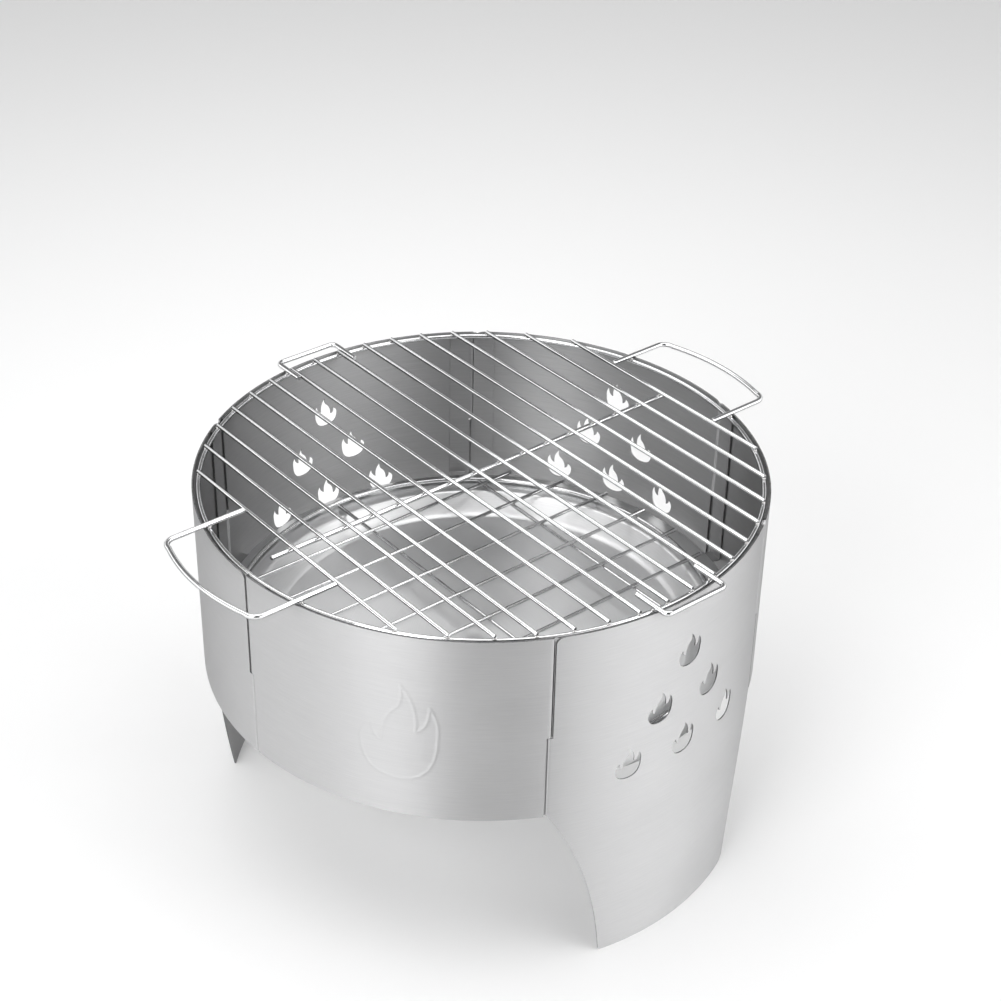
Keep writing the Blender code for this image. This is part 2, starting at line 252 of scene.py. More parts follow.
def brushed_sheet(name, edge_tint, dark, light):
    """Stainless sheet brushed along its length, which is the body's circumference."""
    material, tree, shader = metal(name, edge_tint, 0.85, 0.25)
    sheet = add_node(tree, "ShaderNodeUVMap", (-1300, 0), uv_map="sheet").outputs["UV"]
    fine = add_noise(tree, sheet, (70.0, 8000.0, 1.0), 2.0, (-1100, 300))
    broad = add_noise(tree, sheet, (14.0, 1100.0, 1.0), 3.0, (-1100, 0))
    patches = add_noise(tree, sheet, (18.0, 26.0, 1.0), 4.0, (-1100, -300))
    grain = add_math(tree, "ADD", add_math(tree, "MULTIPLY", fine, 0.6, (-650, 300)),
                     add_math(tree, "MULTIPLY", broad, 0.4, (-650, 120)), (-480, 240))
    tone = add_range(tree, grain, 0.0, 1.0, (-300, 240), 0.35, 0.65)
    colour = add_grey(tree, tone, (dark, dark, dark * 1.01), (light, light, light * 1.005), (-100, 240))
    tree.links.new(colour, shader.inputs["Base Color"])
    smudges = add_range(tree, patches, -0.025, 0.035, (-650, -300))
    strokes = add_range(tree, broad, 0.43, 0.50, (-650, -100))
    rough = add_math(tree, "ADD", strokes, smudges, (-450, -200))
    tree.links.new(rough, shader.inputs["Roughness"])
    bump = add_node(tree, "ShaderNodeBump", (-100, -300))
    bump.inputs["Strength"].default_value = 0.12
    bump.inputs["Distance"].default_value = 0.00005
    tree.links.new(grain, bump.inputs["Height"])
    tree.links.new(bump.outputs["Normal"], shader.inputs["Normal"])
    tangent = add_node(tree, "ShaderNodeTangent", (-100, -500), direction_type="UV_MAP", uv_map="sheet")
    tree.links.new(tangent.outputs["Tangent"], shader.inputs["Tangent"])
    return material


def cut_edge():
    """The sheared edge of the sheet: dark and finely torn across its thickness."""
    material, tree, shader = metal("sheared_sheet_edge", 1.0)
    place = add_node(tree, "ShaderNodeTexCoord", (-900, 0)).outputs["Object"]
    tears = add_noise(tree, place, (1500.0, 1500.0, 1500.0), 3.0, (-700, 0))
    colour = add_grey(tree, tears, (0.16, 0.16, 0.163), (0.32, 0.32, 0.322), (-250, 100))
    tree.links.new(colour, shader.inputs["Base Color"])
    tree.links.new(add_range(tree, tears, 0.22, 0.42, (-250, -100)), shader.inputs["Roughness"])
    return material


def polished_pan():
    """Pressed stainless with a polish that runs round the pan's middle."""
    material, tree, shader = metal("polished_pan_steel", 0.50, 0.35)
    place = add_node(tree, "ShaderNodeTexCoord", (-1500, 0)).outputs["Object"]
    parts = add_node(tree, "ShaderNodeSeparateXYZ", (-1300, 0))
    tree.links.new(place, parts.inputs["Vector"])
    across = add_math(tree, "POWER", parts.outputs["X"], 2.0, (-1100, 200))
    along = add_math(tree, "POWER", parts.outputs["Y"], 2.0, (-1100, 0))
    radius = add_math(tree, "SQRT", add_math(tree, "ADD", across, along, (-950, 100)), 0.0, (-800, 100))
    rings = add_node(tree, "ShaderNodeCombineXYZ", (-650, 100))
    tree.links.new(radius, rings.inputs["X"])
    turned = add_noise(tree, rings.outputs["Vector"], (2600.0, 1.0, 1.0), 4.0, (-450, 200))
    clouds = add_noise(tree, place, (30.0, 30.0, 30.0), 4.0, (-450, -200))
    tone = add_range(tree, turned, 0.0, 1.0, (0, 200))
    colour = add_grey(tree, tone, (0.80, 0.802, 0.806), (0.89, 0.892, 0.895), (150, 200))
    tree.links.new(colour, shader.inputs["Base Color"])
    rough = add_math(tree, "ADD", add_range(tree, turned, 0.36, 0.43, (0, 0)),
                     add_range(tree, clouds, -0.02, 0.04, (0, -200)), (150, -100))
    tree.links.new(rough, shader.inputs["Roughness"])
    bump = add_node(tree, "ShaderNodeBump", (150, -300))
    bump.inputs["Strength"].default_value = 0.10
    bump.inputs["Distance"].default_value = 0.00004
    tree.links.new(turned, bump.inputs["Height"])
    tree.links.new(bump.outputs["Normal"], shader.inputs["Normal"])
    tangent = add_node(tree, "ShaderNodeTangent", (150, -500), direction_type="RADIAL", axis="Z")
    tree.links.new(tangent.outputs["Tangent"], shader.inputs["Tangent"])
    return material


def plated_wire():
    """Bright plated steel wire, with the faint lines and spots of its plating."""
    material, tree, shader = metal("bright_plated_wire", 0.05)
    place = add_node(tree, "ShaderNodeTexCoord", (-900, 0)).outputs["Object"]
    spots = add_noise(tree, place, (420.0, 420.0, 420.0), 4.0, (-700, 200))
    waves = add_noise(tree, place, (90.0, 90.0, 90.0), 2.0, (-700, -100))
    colour = add_grey(tree, add_range(tree, spots, 0.0, 1.0, (-250, 200)),
                      (0.70, 0.705, 0.715), (0.82, 0.822, 0.825), (-80, 200))
    tree.links.new(colour, shader.inputs["Base Color"])
    rough = add_math(tree, "ADD", add_range(tree, spots, 0.08, 0.14, (-250, 0)),
                     add_range(tree, waves, 0.0, 0.05, (-250, -200)), (-80, -100))
    tree.links.new(rough, shader.inputs["Roughness"])
    bump = add_node(tree, "ShaderNodeBump", (-80, -300))
    bump.inputs["Strength"].default_value = 0.08
    bump.inputs["Distance"].default_value = 0.00008
    tree.links.new(waves, bump.inputs["Height"])
    tree.links.new(bump.outputs["Normal"], shader.inputs["Normal"])
    return material


def weld_metal():
    """Plated spot welds: duller than the wire and a little pitted."""
    material, tree, shader = metal("plated_spot_weld", 0.30)
    place = add_node(tree, "ShaderNodeTexCoord", (-900, 0)).outputs["Object"]
    pits = add_noise(tree, place, (1400.0, 1400.0, 1400.0), 3.0, (-700, 0))
    colour = add_grey(tree, add_range(tree, pits, 0.0, 1.0, (-250, 200)),
                      (0.50, 0.49, 0.48), (0.74, 0.735, 0.73), (-80, 200))
    tree.links.new(colour, shader.inputs["Base Color"])
    tree.links.new(add_range(tree, pits, 0.22, 0.42, (-250, -50)), shader.inputs["Roughness"])
    return material


OUTER_STEEL = brushed_sheet("brushed_stainless_outside", 0.40, 0.515, 0.583)
# The inside of the sheet is a darker copy of the same brushed steel, with its grazing reflections dimmed
# further: painted shade for the inside of the body
INNER_STEEL_PAINTED_SHADE = brushed_sheet("brushed_stainless_inside_painted_shade", 0.10, 0.42, 0.51)
EDGE = cut_edge()
SHEET_MATERIALS = (OUTER_STEEL, EDGE, INNER_STEEL_PAINTED_SHADE)
OUTER_SLOT, EDGE_SLOT, INNER_SHADE_SLOT = range(3)
PAN_STEEL = polished_pan()
WIRE = plated_wire()
WELD = weld_metal()


# ---------------------------------------------------------------- outlines


def quadratic(start, control, end, steps):
    """Points on a quadratic curve, without its start."""
    points = []
    for step in range(1, steps + 1):
        t = step / steps
        u = 1.0 - t
        points.append(tuple(u * u * a + 2 * u * t * b + t * t * c for a, b, c in zip(start, control, end)))
    return points


def arc(centre, radius, first, last, steps):
    """Points on an arc, both ends included, with its angles in degrees."""
    points = []
    for step in range(steps + 1):
        angle = math.radians(first + (last - first) * step / steps)
        points.append((centre[0] + radius * math.cos(angle), centre[1] + radius * math.sin(angle)))
    return points


def tab_top(seam):
    """The top edge past the seam: level with the rim, then dropped a little."""
    return [
        (seam + TAB_DROP_FROM, RIM_HEIGHT),
        (seam + TAB_DROP_TO, RIM_HEIGHT - TAB_DROP),
        (seam + TAB_WIDTH, RIM_HEIGHT - TAB_DROP),
    ]


def plain_side(seam):
    """One side of a plain panel, from the rim down: its slot is open at the hem."""
    low = LAP_HEIGHT + GAP / 2
    return tab_top(seam) + [
        (seam + TAB_WIDTH, HEM_Z),
        (seam + SLOT_HALF, HEM_Z),
        (seam + SLOT_HALF, low),
        (seam - SLOT_HALF, low),
        (seam - SLOT_HALF, HEM_Z),
    ]


def leg_panel_side(seam, leg):
    """One side of a leg panel, from the rim down to the foot: its slot is open at the rim."""
    high = LAP_HEIGHT - GAP / 2
    slot_edge = seam - SLOT_HALF
    corner = arc((0.0, 0.0), 1.0, 90, 0, CORNER_STEPS)
    ledge = seam + LEDGE_START
    ledge_end = LEDGE_Z - LEDGE_LENGTH
    points = []
    for x, z in corner:
        points.append((slot_edge - CORNER_ACROSS * (1.0 - x), RIM_HEIGHT - CORNER_DOWN * (1.0 - z)))
    points += [
        (slot_edge, high),
        (seam + SLOT_HALF, high),
        (seam + SLOT_HALF, RIM_HEIGHT - TAB_DROP),
        (seam + TAB_WIDTH, RIM_HEIGHT - TAB_DROP),
        (seam + TAB_WIDTH, ledge_end),
        (ledge, ledge_end),
        (ledge, LEDGE_Z + RELIEF),
        (ledge - RELIEF, LEDGE_Z + RELIEF),
        (ledge - RELIEF, HEM_Z),
    ]
    top = seam - leg.top
    foot = seam - leg.foot
    points.append((top, HEM_Z))
    bend = (top + leg.bend_across * (foot - top), leg.bend_up * HEM_Z)
    points += quadratic((top, HEM_Z), bend, (foot, leg.foot_corner), LEG_STEPS)
    points += quadratic((foot, leg.foot_corner), (foot, 0.0), (foot - leg.foot_corner, 0.0), FOOT_STEPS)
    return points


def panel_outline(half_width, leg):
    """A panel laid flat: distance along the sheet from its middle, and height."""
    if leg is None:
        last = plain_side(half_width)
        first = plain_side(half_width)
    else:
        last = leg_panel_side(half_width, leg.last)
        first = leg_panel_side(half_width, leg.first)
    return last + [(-s, z) for s, z in reversed(first)]


def flame_outline(centre_s, centre_z, width):
    points = []
    start = FLAME_START
    for control, end in FLAME_CURVES:
        points += quadratic(start, control, end, FLAME_STEPS)
        start = end
    return [(centre_s + x * width, centre_z + y * width) for x, y in points]


def flame_outlines(along, up):
    """Six flames, in rows of one, two and three."""
    outlines = []
    for row in range(FLAME_ROWS):
        z = RIM_HEIGHT - FLAME_TOP - row * FLAME_ROW_DROP + up
        for place in range(row + 1):
            outlines.append(flame_outline((place - row / 2) * FLAME_PITCH + along, z, FLAME_WIDTH))
    return outlines


# ---------------------------------------------------------------- sheet panels


def smooth_step(t):
    t = min(1.0, max(0.0, t))
    return t * t * (3.0 - 2.0 * t)


def stamp_lines():
    """The stamped flame: its own outline, closed, as pairs of neighbouring points."""
    flame = flame_outline(0.0, 0.0, STAMP_WIDTH)
    outline = [Vector((STAMP_S + x, STAMP_Z + z * STAMP_TALL)) for x, z in flame]
    return list(zip(outline, outline[1:] + outline[:1]))


def stamp_height(s, z, lines):
    """How far the stamped line stands proud at a point of the sheet."""
    point = Vector((s, z))
    nearest = STAMP_MARGIN
    for start, end in lines:
        along = end - start
        part = min(1.0, max(0.0, (point - start).dot(along) / along.length_squared))
        nearest = min(nearest, (point - start - along * part).length)
    if nearest >= STAMP_MARGIN:
        return 0.0
    return STAMP_HEIGHT * math.exp(-((nearest / STAMP_LINE) ** 2))


def sheet_point(s, z, offset, half_width, leg, lines):
    """Where a point of the flat sheet lies once it is rolled, set in at the seam, folded and stamped."""
    past_seam = abs(s) - half_width
    inward = STEP_IN * smooth_step((past_seam - JOGGLE_START) / (JOGGLE_END - JOGGLE_START))
    radius = BODY_RADIUS - SHEET / 2 - inward
    angle = s / BODY_RADIUS
    fold = LEDGE_Z + FOLD_RADIUS - z
    if leg is not None and past_seam > LEDGE_START - RELIEF / 2 and fold > 0.0:
        turn = min(fold / FOLD_RADIUS, math.pi / 2)
        straight = fold - turn * FOLD_RADIUS
        radius += offset * math.cos(turn) - FOLD_RADIUS * (1.0 - math.cos(turn)) - straight
        z = LEDGE_Z + FOLD_RADIUS * (1.0 - math.sin(turn)) - offset * math.sin(turn)
    else:
        radius += offset
        if leg is not None and z < HEM_Z:
            radius -= leg.lean_in * (1.0 - z / HEM_Z) ** 2
        if lines:
            radius += stamp_height(s, z, lines)
    return Vector((radius * math.cos(angle), radius * math.sin(angle), z))


def flat_plate(name, outlines):
    """The sheet laid flat, with its sheared edges rounded over: X along it, Y up and Z outwards."""
    curve = bpy.data.curves.new(name, "CURVE")
    curve.dimensions = "2D"
    curve.fill_mode = "BOTH"
    curve.extrude = SHEET / 2 - EDGE_ROUND
    curve.bevel_depth = EDGE_ROUND
    curve.bevel_resolution = 1
    curve.offset = -EDGE_ROUND
    for outline in outlines:
        spline = curve.splines.new("POLY")
        spline.points.add(len(outline) - 1)
        for point, (x, y) in zip(spline.points, outline):
            point.co = (x, y, 0.0, 1.0)
        spline.use_cyclic_u = True
    flat = bpy.data.objects.new(name + "_flat", curve)
    bpy.context.scene.collection.objects.link(flat)
    evaluated = flat.evaluated_get(bpy.context.evaluated_depsgraph_get())
    mesh = bpy.data.meshes.new_from_object(evaluated)
    bpy.data.objects.remove(flat, do_unlink=True)
    shape = bmesh.new()
    shape.from_mesh(mesh)
    bmesh.ops.remove_doubles(shape, verts=shape.verts, dist=1e-6)
    return mesh, shape


def cut_lines(shape, axis, places, within=lambda face: True):
    """Add edges across the sheet at each place along an axis, on the faces that a test picks."""
    normal = Vector((1.0, 0.0, 0.0)) if axis == 0 else Vector((0.0, 1.0, 0.0))
    for place in places:
        faces = []
        for face in shape.faces:
            spread = [vert.co[axis] for vert in face.verts]
            if min(spread) < place < max(spread) and within(face):
                faces.append(face)
        edges = list({edge for face in faces for edge in face.edges})
        verts = list({vert for face in faces for vert in face.verts})
        bmesh.ops.bisect_plane(shape, geom=verts + edges + faces, dist=1e-6, plane_co=normal * place,
                               plane_no=normal)


def steps_between(low, high, pitch):
    count = math.ceil((high - low) / pitch)
    return [low + (high - low) * step / count for step in range(1, count)]


def cut_sheet(shape, half_width, is_leg, stamped):
    """The edges along which the flat sheet is rolled, set in, folded and stamped."""
    reach = half_width + TAB_WIDTH
    cut_lines(shape, 0, steps_between(-reach, reach, GRID_ACROSS))
    joggle_step = (JOGGLE_END - JOGGLE_START) / JOGGLE_STEPS
    joggle = [JOGGLE_START + joggle_step * part for part in range(JOGGLE_STEPS + 1)]
    for side in (-1, 1):
        cut_lines(shape, 0, [side * (half_width + place) for place in joggle])
    cut_lines(shape, 1, steps_between(HEM_Z, RIM_HEIGHT, GRID_UP))
    if is_leg:
        cut_lines(shape, 1, steps_between(0.0, HEM_Z, GRID_UP))
        fold_length = FOLD_RADIUS * math.pi / 2
        folds = [LEDGE_Z + FOLD_RADIUS - fold_length * step / FOLD_STEPS for step in range(FOLD_STEPS + 1)]
        past = half_width + LEDGE_START - RELIEF
        cut_lines(shape, 1, folds, lambda face: all(abs(vert.co.x) > past for vert in face.verts))
    if stamped:
        def near(face):
            centre = face.calc_center_median()
            return abs(centre.x - STAMP_S) < STAMP_REACH and abs(centre.y - STAMP_Z) < STAMP_REACH

        for axis, middle in enumerate((STAMP_S, STAMP_Z)):
            places = steps_between(middle - STAMP_REACH, middle + STAMP_REACH, STAMP_GRID)
            cut_lines(shape, axis, places, near)
    crowded = [face for face in shape.faces if len(face.verts) > 4]
    bmesh.ops.triangulate(shape, faces=crowded, ngon_method="BEAUTY")


def make_panel(node, first_seam, last_seam, leg, flames):
    """A rolled sheet panel in its place, with its brushing laid along the sheet."""
    half_width = BODY_RADIUS * math.radians(last_seam - first_seam) / 2
    lines = stamp_lines() if node == STAMPED_PANEL else []
    outlines = [panel_outline(half_width, leg)]
    if flames is not None:
        outlines += flame_outlines(*flames)
    mesh, shape = flat_plate(node, outlines)
    cut_sheet(shape, half_width, leg is not None, bool(lines))
    bmesh.ops.recalc_face_normals(shape, faces=shape.faces)
    shape.normal_update()
    sheet = shape.loops.layers.uv.new("sheet")
    middle = Matrix.Rotation(math.radians((first_seam + last_seam) / 2), 3, "Z")
    seam_along = BODY_RADIUS * math.radians(first_seam)
    normals = []
    for face in shape.faces:
        side = face.normal.z
        face.smooth = True
        if abs(side) < FLAT_SIDE:
            face.material_index = EDGE_SLOT
        else:
            # Inner faces take the darker copy of the sheet, which is painted shade
            face.material_index = OUTER_SLOT if side > 0.0 else INNER_SHADE_SLOT
        for loop in face.loops:
            s, z, offset = loop.vert.co
            loop[sheet].uv = (s + seam_along, z)
            if face.material_index == EDGE_SLOT:
                normals.append(Vector((0.0, 0.0, 0.0)))
                continue
            here = (offset, half_width, leg, lines)
            probe = 0.0001
            across = sheet_point(s + probe, z, *here) - sheet_point(s - probe, z, *here)
            up = sheet_point(s, z + probe, *here) - sheet_point(s, z - probe, *here)
            normals.append(middle @ across.cross(up).normalized() * math.copysign(1.0, side))
    for vert in shape.verts:
        s, z, offset = vert.co
        vert.co = middle @ sheet_point(s, z, offset, half_width, leg, lines)
    shape.to_mesh(mesh)
    shape.free()
    mesh.set_sharp_from_angle(angle=math.radians(40))
    mesh.normals_split_custom_set([tuple(normal) for normal in normals])
    return new_piece(node + "_sheet", mesh, SHEET_MATERIALS, node)


def new_piece(name, mesh, materials, node):
    """A finished mesh as a piece that stands for a CAD node and moves with its body."""
    mesh.name = name
    for material in materials:
        mesh.materials.append(material)
    piece = bpy.data.objects.new(name, mesh)
    bpy.context.scene.collection.objects.link(piece)
    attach(piece, BODY_OF_NODE[node])
    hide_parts(node)
    return piece


# ---------------------------------------------------------------- ash pan


def pan_contour():
    """Half of the pan's section, as a closed outline: along the top face, then back underneath."""
    low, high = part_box("ash_pan")
    edge = high.x
    top = high.z
    floor = low.z + SHEET

    def face(level, shift):
        """One face of the sheet, from the flange's edge to the middle."""
        flange = (PAN_FLANGE_INNER + PAN_SHOULDER + shift, top - level)
        slope = (PAN_FLANGE_INNER + shift, top - level - 0.0012)
        foot = (PAN_FLOOR_RADIUS + PAN_SHOULDER * 1.4 + shift, floor - level + 0.0016)
        base = (PAN_FLOOR_RADIUS + shift, floor - level)
        points = [(edge - 0.0002, top - level), flange]
        points += quadratic(flange, (PAN_FLANGE_INNER + 0.0008 + shift, top - level), slope, 8)
        points += quadratic(slope, ((slope[0] + foot[0]) / 2, (slope[1] + foot[1]) / 2), foot, 4)
        points += quadratic(foot, (PAN_FLOOR_RADIUS + 0.0018 + shift, floor - level), base, 8)
        return points + [(PAN_FLOOR_RADIUS * part / 6, floor - level) for part in range(5, -1, -1)]

    rounding = arc((edge - SHEET / 2, top - SHEET / 2), SHEET / 2, -60, 60, 4)
    upper = face(0.0, 0.0)
    lower = face(SHEET, -SHEET * 0.45)
    return lower[::-1][:-1] + rounding + upper[1:]


def make_pan():
    """The ash pan as a section turned about the middle, closed at the axis."""
    section = pan_contour()
    shape = bmesh.new()
    verts = [shape.verts.new((x, 0.0, z)) for x, z in section]
    edges = [shape.edges.new(pair) for pair in zip(verts, verts[1:])]
    bmesh.ops.spin(shape, geom=verts + edges, cent=(0, 0, 0), axis=(0, 0, 1), angle=math.tau,
                   steps=PAN_STEPS, use_merge=True)
    bmesh.ops.remove_doubles(shape, verts=shape.verts, dist=1e-6)
    bmesh.ops.recalc_face_normals(shape, faces=shape.faces)
    mesh = bpy.data.meshes.new("ash_pan_pressing")
    shape.to_mesh(mesh)
    shape.free()
    mesh.shade_smooth()
    mesh.set_sharp_from_angle(angle=math.radians(50))
    return new_piece("ash_pan_pressing", mesh, (PAN_STEEL,), "ash_pan")


# ---------------------------------------------------------------- wires


def wire_mesh(name, points, radius, closed=False):
    """A round wire through the points. Its cut ends are chamfered a little."""
    curve = bpy.data.curves.new(name, "CURVE")
    curve.dimensions = "3D"
    curve.bevel_depth = radius
    curve.bevel_resolution = WIRE_ROUNDING
    curve.use_fill_caps = True
    spline = curve.splines.new("POLY")
    spline.points.add(len(points) - 1)
    for point, place in zip(spline.points, points):
        point.co = (*place, 1.0)
    if closed:
        spline.use_cyclic_u = True
    else:
        spline.points[0].radius = WIRE_END
        spline.points[-1].radius = WIRE_END
    bent = bpy.data.objects.new(name, curve)
    bpy.context.scene.collection.objects.link(bent)
    evaluated = bent.evaluated_get(bpy.context.evaluated_depsgraph_get())
    mesh = bpy.data.meshes.new_from_object(evaluated)
    bpy.data.objects.remove(bent, do_unlink=True)
    shape = bmesh.new()
    shape.from_mesh(mesh)
    bmesh.ops.remove_doubles(shape, verts=shape.verts, dist=1e-6)
    bmesh.ops.recalc_face_normals(shape, faces=shape.faces)
    shape.to_mesh(mesh)
    shape.free()
    mesh.shade_smooth()
    mesh.set_sharp_from_angle(angle=math.radians(40))
    return mesh


def with_chamfers(points, chamfer=0.0003):
    """The same path with one more point just inside each end."""
    first, second = Vector(points[0]), Vector(points[1])
    last, before = Vector(points[-1]), Vector(points[-2])
    inner_first = first + (second - first).normalized() * chamfer
    inner_last = last + (before - last).normalized() * chamfer
    return [first, inner_first, *[Vector(point) for point in points[1:-1]], inner_last, last]


def wire_piece(node, points, radius, closed=False):
    path = points if closed else with_chamfers(points)
    mesh = wire_mesh(node + "_wire", path, radius, closed)
    return new_piece(node + "_wire", mesh, (WIRE,), node)


def box_facts(node):
    low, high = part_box(node)
    return (low + high) / 2, (high - low)


def straight_wire(node, axis):
    """A straight wire as long as its CAD solid, along X (0) or Y (1)."""
    centre, size = box_facts(node)
    radius = size.z / 2
    step = Vector((0.0, 0.0, 0.0))
    step[axis] = size[axis] / 2
    return wire_piece(node, [centre - step, centre, centre + step], radius), centre, radius


def ring_wire(node):
    centre, size = box_facts(node)
    wire = size.z / 2
    radius = size.x / 2 - wire
    points = []
    for step in range(RING_STEPS):
        angle = math.tau * step / RING_STEPS
        points.append(centre + Vector((radius * math.cos(angle), radius * math.sin(angle), 0.0)))
    return wire_piece(node, points, wire, True), centre, radius, wire


def rounded_loop(inner, outer, half, bend, bulge):
    """A U of wire in plan: two legs along the first axis, bent into an outer side that may bow out."""
    path = [(inner, -half)]
    path += arc((outer - bend, bend - half), bend, -90, 0, BEND_STEPS)
    side = 16 if bulge else 0
    for step in range(1, side):
        across = -1.0 + 2.0 * step / side
        path.append((outer + bulge * (1.0 - across * across), across * (half - bend)))
    path += arc((outer - bend, half - bend), bend, 0, 90, BEND_STEPS)
    path.append((inner, half))
    return path


# ---------------------------------------------------------------- spot welds


def add_bead(shape, centre, width, height, turn, dice):
    """One spot weld: a low lump squeezed out between two wires, longer along one of them."""
    made = bmesh.ops.create_icosphere(shape, subdivisions=2, radius=1.0)
    spin = Matrix.Rotation(turn, 3, "Z")
    seed = Vector((dice.uniform(0, 50), dice.uniform(0, 50), dice.uniform(0, 50)))
    for vert in made["verts"]:
        lump = 1.0 + BEAD_LUMPS * noise.noise(vert.co * BEAD_LUMP_SCALE + seed)
        local = Vector((vert.co.x * width * BEAD_STRETCH, vert.co.y * width, vert.co.z * height)) * lump
        vert.co = centre + spin @ local


def weld_piece(name, beads, body, dice):
    """All the spot welds of a grate. Each bead is its centre, width, height and turn."""
    shape = bmesh.new()
    for centre, width, height, turn in beads:
        add_bead(shape, centre, width, height, turn, dice)
    mesh = bpy.data.meshes.new(name)
    shape.to_mesh(mesh)
    shape.free()
    mesh.shade_smooth()
    mesh.materials.append(WELD)
    piece = bpy.data.objects.new(name, mesh)
    bpy.context.scene.collection.objects.link(piece)
    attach(piece, body)
    return piece


def make_charcoal_grate():
    nodes = [name for name in BODY_OF_NODE if name.startswith("charcoal_bar")]
    crosses = [name for name in BODY_OF_NODE if name.startswith("charcoal_cross_wire")]
    dice = random.Random(7)
    _, ring_centre, ring_radius, _ = ring_wire("charcoal_ring")
    beads = []
    cross_x = []
    for node in crosses:
        _, centre, _ = straight_wire(node, 1)
        cross_x.append((centre.x, box_facts(node)[1].y / 2))
    for node in nodes:
        _, centre, radius = straight_wire(node, 0)
        offset = centre.y - ring_centre.y
        reach = math.sqrt(ring_radius ** 2 - offset ** 2)
        level = centre.z - radius - GAP / 2
        for side in (-1, 1):
            place = Vector((side * reach, centre.y, level))
            beads.append((place, radius * 0.95, radius * 0.55, math.pi / 2))
        for x, half in cross_x:
            if abs(offset) < half:
                beads.append((Vector((x, centre.y, level)), radius * 0.9, radius * 0.5, 0.0))
    weld_piece("charcoal_grate_welds", beads, "charcoal_grate", dice)


def make_cooking_grate():
    bars = sorted(name for name in BODY_OF_NODE if name.startswith("cooking_bar"))
    dice = random.Random(11)
    _, _, ring_radius, _ = ring_wire("cooking_ring")
    _, cross_centre, cross_wire = straight_wire("cooking_cross_wire", 0)
    beads = []
    bar_x = []
    for node in bars:
        _, centre, radius = straight_wire(node, 1)
        bar_x.append(centre.x)
        level = centre.z - radius - GAP / 2
        reach = math.sqrt(ring_radius ** 2 - centre.x ** 2)
        for side in (-1, 1):
            turn = math.atan2(side * reach, centre.x) + math.pi / 2
            beads.append((Vector((centre.x, side * reach, level)), radius * 0.95, radius * 0.6, turn))
        beads.append((Vector((centre.x, cross_centre.y, level)), radius, radius * 0.55, 0.0))
    loop_z = RIM_HEIGHT + GAP + cross_wire
    clearance = radius + GAP
    for node, side, end_bar in (("left_handle", -1, bar_x[0]), ("right_handle", 1, bar_x[-1])):
        inner = side * end_bar + clearance
        path = rounded_loop(inner, HANDLE_CORNER_X, HANDLE_HALF, HANDLE_BEND, HANDLE_BULGE)
        wire_piece(node, [Vector((side * x, side * y, loop_z)) for x, y in path], cross_wire)
        reach = math.sqrt(ring_radius ** 2 - HANDLE_HALF ** 2)
        for y in (-HANDLE_HALF, HANDLE_HALF):
            turn = math.atan2(y, side * reach) + math.pi / 2
            level = RIM_HEIGHT + GAP / 2
            beads.append((Vector((side * reach, y, level)), cross_wire, cross_wire * 0.6, turn))
            beads.append((Vector((end_bar + side * radius, y, centre.z)), radius * 0.8, radius * 0.8, 0.0))
    for node, side in (("front_tab_loop", -1), ("back_tab_loop", 1)):
        middle = box_facts(node)[0].x
        path = rounded_loop(LOOP_INNER_Y, LOOP_OUTER_Y, LOOP_HALF, LOOP_BEND, 0.0)
        wire_piece(node, [Vector((middle - side * y, side * x, loop_z)) for x, y in path], cross_wire)
        for edge in (-LOOP_HALF, LOOP_HALF):
            x = middle + edge
            y = side * math.sqrt(ring_radius ** 2 - x ** 2)
            turn = math.atan2(y, x) + math.pi / 2
            beads.append((Vector((x, y, RIM_HEIGHT + GAP / 2)), cross_wire, cross_wire * 0.6, turn))
    weld_piece("cooking_grate_welds", beads, "cooking_grate", dice)


# ---------------------------------------------------------------- studio

CAMERA_AZIMUTH = 231.0
CAMERA_ELEVATION = 32.27
CAMERA_DISTANCE = 1.14659
CAMERA_LENS = 71.93
CAMERA_ROLL = 0.82
CAMERA_SHIFT = (0.0189, -0.0320)

# The studio walls: the sine of an elevation and the brightness there
FRONT_WALL = ((0.0, 3.15), (0.20, 2.65), (0.35, 1.1), (0.60, 0.6), (1.0, 0.12))
BACK_WALL = ((0.0, 1.8), (0.25, 1.5), (0.40, 0.35), (0.50, 0.2), (0.70, 0.2), (1.0, 0.05))

# Where the walls change: an azimuth, and how far from it the change ends and starts, in degrees
FRONT_GAP = (236.0, 15.2, 28.4)
FRONT_GAP_BRIGHTNESS = 0.08
FRONT_GLOW = (306.0, 11.5, 60.0)
FRONT_GLOW_BRIGHTNESS = 1.45
BEHIND = (53.0, 37.0, 84.0)

# Softboxes: azimuth and elevation in degrees, distance, side and power
SOFTBOX_AIM = (0.0, 0.0, 0.20)
SOFTBOXES = {
    "overhead_softbox": (90.0, 79.0, 1.05, 1.3, 9.5),
    "left_softbox": (200.0, 33.0, 2.0, 0.9, 13.0),
    "right_softbox": (300.0, 33.0, 2.0, 0.9, 6.0),
}


def direction(azimuth, elevation):
    """A unit vector, from an azimuth and an elevation in degrees."""
    flat = math.cos(math.radians(elevation))
    turn = math.radians(azimuth)
    return Vector((flat * math.cos(turn), flat * math.sin(turn), math.sin(math.radians(elevation))))


def make_camera():
    camera = bpy.data.objects.new("camera", bpy.data.cameras.new("camera"))
    bpy.context.scene.collection.objects.link(camera)
    target = Vector((0.0, 0.0, RIM_HEIGHT))
    camera.location = target + CAMERA_DISTANCE * direction(CAMERA_AZIMUTH, CAMERA_ELEVATION)
    aim = (target - camera.location).to_track_quat("-Z", "Y")
    camera.rotation_euler = (aim @ Quaternion((0, 0, 1), math.radians(CAMERA_ROLL))).to_euler()
    camera.data.lens = CAMERA_LENS
    camera.data.shift_x, camera.data.shift_y = CAMERA_SHIFT
    camera.data.clip_start = 0.01
    bpy.context.scene.camera = camera


